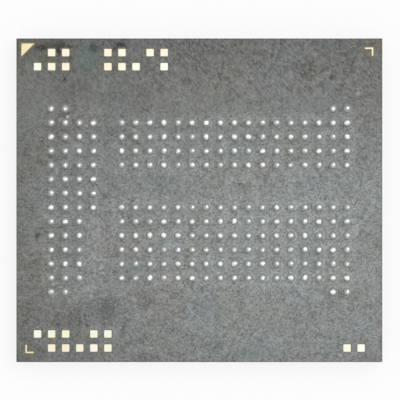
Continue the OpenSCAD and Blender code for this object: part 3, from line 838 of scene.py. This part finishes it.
def mark_lips(name, names, steps, coat):
    """A strip of resin around each mark; steps are (how far outwards, level) of its lines."""
    points, faces = [], []
    for ring in outlines_of(names):
        start, count = len(points), len(ring)
        for out, level in steps:
            for i, corner in enumerate(ring):
                into = (corner - ring[i - 1]).normalized()
                onto = (ring[(i + 1) % count] - corner).normalized()
                side = Vector((into.y + onto.y, -into.x - onto.x)).normalized()
                reach = out / max(side.dot(Vector((into.y, -into.x))), MITRE_FLOOR)
                points.append((corner.x + side.x * reach, corner.y + side.y * reach, level))
        for k in range(len(steps) - 1):
            for i in range(count):
                j = (i + 1) % count
                a, b = start + k * count, start + (k + 1) * count
                faces.append((a + i, b + i, b + j, a + j))
    mesh = bpy.data.meshes.new(name)
    mesh.from_pydata(points, [], faces)
    shape = bmesh.new()
    shape.from_mesh(mesh)
    bmesh.ops.recalc_face_normals(shape, faces=shape.faces)
    if sum(face.normal.z for face in shape.faces) < 0:
        bmesh.ops.reverse_faces(shape, faces=shape.faces)
    for face in shape.faces:
        face.smooth = True
    shape.to_mesh(mesh)
    shape.free()
    mesh.materials.append(coat)
    piece = new_object(name, mesh)
    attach(piece, "root")


MARKS = ("first_corner_triangle", "upper_right_corner_mark", "lower_left_corner_mark")
mark_lips("mark_lips", MARKS, [
    (-0.009 * MM, MASK_TOP_Z - 0.013 * MM), (0.003 * MM, MASK_TOP_Z),
    (0.014 * MM, MASK_TOP_Z + 0.002 * MM), (0.068 * MM, MASK_TOP_Z - SUNK_EDGE)],
    lip_material("mark_lip", colour(90, 87, 50), colour(122, 119, 84)))

# ---------- Gold finish ----------
# Nickel and a thin flash of gold on the bare copper of the test pads, corner marks and bond
# fingers. It is pale and satin, and each pad has its own tone.


def pitch_cell(w, position):
    return w.vector("FLOOR", w.scaled(position, 1 / BALL_PITCH))


def chance(w, cell):
    """Random values that are the same all over one cell."""
    return w.node("ShaderNodeTexWhiteNoise", {"Vector": cell}, noise_dimensions="3D").outputs


def gold_material(name, pale, deep):
    made, w = material(name)
    position = object_position(w)
    own = chance(w, pitch_cell(w, position))
    cloudy = w.noise(position, 0.09 * MM, detail=2.0, rough=0.6)["Fac"]
    grainy = w.noise(position, 0.012 * MM, detail=2.0)["Fac"]
    shade = w.math("ADD", w.math("MULTIPLY", own["Value"], 0.7),
                   w.math("MULTIPLY", w.ranged(cloudy, 0.35, 0.65), 0.35))
    tone = w.mixed(shade, pale, deep)
    rosy = w.math("MULTIPLY", w.ranged(w.split(own["Color"])["X"], 0.6, 0.9),
                  w.ranged(cloudy, 0.4, 0.6))
    tone = w.mixed(w.math("MULTIPLY", rosy, 0.6), tone, colour(244, 222, 210))
    principled(w, Base_Color=tone, Metallic=1.0,
               Roughness=w.ranged(grainy, 0.25, 0.75, 0.3, 0.45),
               Normal=bumped(w, w.math("ADD", grainy, cloudy), 0.0015 * MM, 0.5))
    return made


pad_gold = gold_material("pad_gold", colour(235, 236, 226), colour(228, 226, 192))
mark_gold = gold_material("mark_gold", colour(231, 221, 182), colour(218, 198, 146))
corner_gold = gold_material("corner_gold", colour(230, 226, 206), colour(222, 212, 186))
for pad_node in TEST_PADS:
    dress(pad_node, pad_gold)
for finger_row in ("left", "right", "controller"):
    dress(finger_row + "_finger_plating", pad_gold)
for mark_node, its_gold in zip(MARKS, (mark_gold, corner_gold, corner_gold)):
    dress(mark_node, its_gold)

# ---------- Dies and adhesive films ----------
# Four thinned memory dies and a controller, each on its own adhesive film. The mould hides
# them all, so their faces are plain ground silicon and cured film.

STACKS = ("lower_flash", "upper_flash", "lower_memory", "upper_memory", "controller")


def silicon_material():
    made, w = material("ground_silicon")
    position = object_position(w)
    ground = w.noise(w.vector("MULTIPLY", position, (1.0, 0.04, 1.0)), 0.006 * MM,
                     detail=3.0)["Fac"]
    cloudy = w.noise(position, 1.2 * MM)["Fac"]
    tone = w.mixed(cloudy, colour(96, 100, 112), colour(122, 126, 138))
    principled(w, Base_Color=tone, Metallic=0.85, Roughness=w.ranged(ground, 0.3, 0.7, 0.22, 0.4),
               Normal=bumped(w, ground, 0.0005 * MM, 0.5))
    return made


def film_material():
    made, w = material("cured_film")
    position = object_position(w)
    filler = w.noise(position, 0.015 * MM, detail=3.0)["Fac"]
    tone = w.mixed(filler, colour(206, 178, 122), colour(226, 204, 158))
    principled(w, Base_Color=tone, Roughness=w.ranged(filler, 0.3, 0.7, 0.45, 0.6),
               Normal=bumped(w, filler, 0.0008 * MM, 0.4))
    return made


silicon = silicon_material()
film = film_material()
for stack_name in STACKS:
    dress(stack_name + "_die", silicon)
    dress(stack_name + "_film", film)

# ---------- Bond wires ----------
# Drawn gold wire, balled on its die, looped, and stitched to its finger on the laminate.
# The mould is formed around the loops and holds them.


def wire_material():
    made, w = material("drawn_gold_wire")
    position = object_position(w)
    drawn = w.noise(position, 0.008 * MM, detail=2.0)["Fac"]
    tone = w.mixed(drawn, colour(232, 186, 96), colour(250, 214, 138))
    principled(w, Base_Color=tone, Metallic=1.0, Roughness=w.ranged(drawn, 0.3, 0.7, 0.18, 0.3),
               Normal=bumped(w, drawn, 0.0003 * MM, 0.4))
    return made


wire_gold = wire_material()
for stack_name in STACKS:
    dress(stack_name + "_wires", wire_gold)

# ---------- Capacitors ----------
# Four chip capacitors of brown ceramic with tinned ends, soldered to the laminate's die
# side and moulded over.


def ceramic_material():
    made, w = material("fired_ceramic")
    position = object_position(w)
    fired = w.noise(position, 0.02 * MM, detail=4.0, rough=0.6)["Fac"]
    tone = w.mixed(fired, colour(124, 94, 66), colour(160, 126, 92))
    principled(w, Base_Color=tone, Roughness=w.ranged(fired, 0.3, 0.7, 0.4, 0.6),
               Normal=bumped(w, fired, 0.001 * MM, 0.5))
    return made


def tin_material(name, low, high):
    made, w = material(name)
    position = object_position(w)
    grain = w.noise(position, 0.02 * MM, detail=3.0, rough=0.6)["Fac"]
    tone = w.mixed(grain, low, high)
    principled(w, Base_Color=tone, Metallic=1.0, Roughness=w.ranged(grain, 0.3, 0.7, 0.3, 0.5),
               Normal=bumped(w, grain, 0.001 * MM, 0.5))
    return made


dress("capacitor_bodies", ceramic_material())
dress("capacitor_terminals", tin_material("plated_tin", colour(190, 192, 194),
                                          colour(222, 223, 224)))
dress("capacitor_solder", tin_material("reflowed_solder", colour(176, 178, 180),
                                       colour(214, 215, 216)))

# ---------- Mould ----------
# Black epoxy filled with fine silica, moulded in a sheet and sawn. The sawn sides show cut
# grains and blade marks; the mould face is matt, and the index dot's floor is paler.

SILICA_SIZE = 0.028 * MM
INDEX_DOT_INSET = 0.9 * MM
INDEX_DOT_RADIUS = 0.35 * MM
INDEX_DOT_SKIN = 0.03 * MM       # the mould is paler up to this height inside the dot


def mould_material():
    made, w = material("moulded_epoxy")
    position = object_position(w)
    saw = w.group(saw_marks, {"Position": position, "Spacing": 0.01 * MM})
    grains = w.node("ShaderNodeTexVoronoi", {"Vector": position, "Scale": 1 / SILICA_SIZE},
                    feature="F1")
    silica = w.ranged(grains.outputs["Distance"], 0.12, 0.34, 1.0, 0.0)
    chosen = w.ranged(w.split(grains.outputs["Color"])["X"], 0.55, 0.75)
    cut_grains = w.math("MULTIPLY", silica, chosen)
    tone = w.group(mottle, {"Position": position, "Grain size": 0.07 * MM,
                            "Blotch size": 0.35 * MM, "Zone size": 2.6 * MM})
    skin = w.noise(position, 0.03 * MM, detail=3.0, rough=0.65)["Fac"]
    black = w.mixed(w.ranged(tone["Zone"], 0.35, 0.65), colour(40, 40, 42), colour(56, 56, 58))
    level = w.math("ADD", w.level(tone["Grain"], 1.6), w.math("SUBTRACT", tone["Blotch"], 0.5))
    speck = w.math("MULTIPLY", w.ranged(skin, 0.62, 0.75), 0.35)
    face = w.mixed(speck, w.scaled(black, level), colour(122, 122, 120))
    dim = w.mixed(1.0, black, colour(196, 196, 196), "MULTIPLY")
    sawn = w.mixed(w.math("MULTIPLY", saw["Lines"], 0.7), dim, colour(64, 64, 66))
    sawn = w.mixed(w.math("MULTIPLY", cut_grains, 0.55), sawn, colour(122, 122, 120))
    shade = w.mixed(saw["Side"], face, sawn)

    dot = (cad_low.x + INDEX_DOT_INSET, cad_high.y - INDEX_DOT_INSET, 0.0)
    in_dot = w.math("LESS_THAN", w.vector("DISTANCE", w.flat(position), dot), INDEX_DOT_RADIUS)
    near_face = w.math("LESS_THAN", w.split(position)["Z"], INDEX_DOT_SKIN)
    etched = w.math("MULTIPLY", in_dot, near_face)
    shade = w.mixed(w.math("MULTIPLY", etched, w.ranged(skin, 0.3, 0.7, 0.45, 0.85)), shade,
                    colour(112, 111, 107))

    relief = w.mixed(saw["Side"], skin, w.math("ADD", saw["Lines"], cut_grains))
    principled(w, Base_Color=shade, Roughness=w.ranged(skin, 0.25, 0.75, 0.5, 0.68),
               Normal=bumped(w, relief, 0.004 * MM, 0.5))
    return made


dress("mould_cap", mould_material())

# ---------- Solder balls ----------
# Spheres of tin-silver solder reflowed onto the lands. Test sockets have rubbed and dented
# each crown; its bright shape is partly that wear and partly a painted highlight, and the
# flanks are dull with oxide and flux and partly darkened with painted shade.

CROWN_RADII = (0.045 * MM, 0.081 * MM)   # of the smallest and the largest bright crown, partly rubbed and partly a painted highlight
CROWN_DRIFT = 0.032 * MM                 # how widely the crowns' middles are spread
CROWN_LENGTHS = (0.92, 0.34)             # the least drawing out, and how much may be added
CROWN_TURNS = (-0.4, 2.4)                # the least turn of it, and how much may be added
DENT_SIZE = 0.085 * MM
DENT_PUSH = 0.12 * MM                    # how far the dents push the crown's edge about


def solder_material():
    made, w = material("reflowed_balls")
    position = object_position(w)
    own = chance(w, w.flat(pitch_cell(w, position)))

    # The bright crown, partly rubbed and partly a painted highlight: off centre, drawn out and
    # dented differently on each ball
    random = w.split(own["Color"])
    turn = w.math("MULTIPLY_ADD", random["Z"], CROWN_TURNS[1], CROWN_TURNS[0])
    turned = turned_by(w, place_in_cell(w, position), turn)
    length = w.math("MULTIPLY_ADD", random["X"], CROWN_LENGTHS[1], CROWN_LENGTHS[0])
    drawn = w.vector("DIVIDE", turned, w.join(length, w.math("DIVIDE", 1.0, length), 1.0))
    dents = w.noise(position, DENT_SIZE, detail=2.0, rough=0.6)
    moved = w.vector("ADD", drawn, w.push(own["Color"], CROWN_DRIFT))
    worn_and_highlit_place = w.flat(w.vector("ADD", moved, w.push(dents["Color"], DENT_PUSH)))
    away = w.vector("LENGTH", worn_and_highlit_place)
    size = w.ranged(own["Value"], 0.0, 1.0, *CROWN_RADII, smooth=False)
    crown_wear_and_highlight = w.ranged(w.math("DIVIDE", away, size), 0.5, 1.35, 1.0, 0.0)

    pits = w.noise(position, 0.022 * MM, detail=2.0)["Fac"]
    gleam = w.ranged(w.math("ADD", random["Y"], w.math("MULTIPLY", pits, 0.5)), 0.25, 0.9)
    # The crown's bright tone is partly rubbed wear and partly a painted highlight; the flank's
    # dull tone is oxide and flux and partly painted shade
    bright = w.mixed(gleam, colour(200, 202, 201), colour(245, 246, 246))
    dull = w.mixed(w.ranged(pits, 0.3, 0.7), colour(148, 151, 148), colour(176, 178, 174))
    tone = w.mixed(crown_wear_and_highlight, dull, bright)
    relief = w.math("ADD", w.math("MULTIPLY", dents["Fac"], 4.0), pits)
    principled(w, Base_Color=tone, Metallic=w.ranged(crown_wear_and_highlight, 0.0, 1.0, 0.45, 1.0, smooth=False),
               Roughness=w.ranged(crown_wear_and_highlight, 0.0, 1.0, 0.55, 0.32, smooth=False),
               Normal=bumped(w, relief, 0.003 * MM, 0.6))
    return made


solder = solder_material()
for row_node in BALL_ROWS:
    dress(row_node, solder)
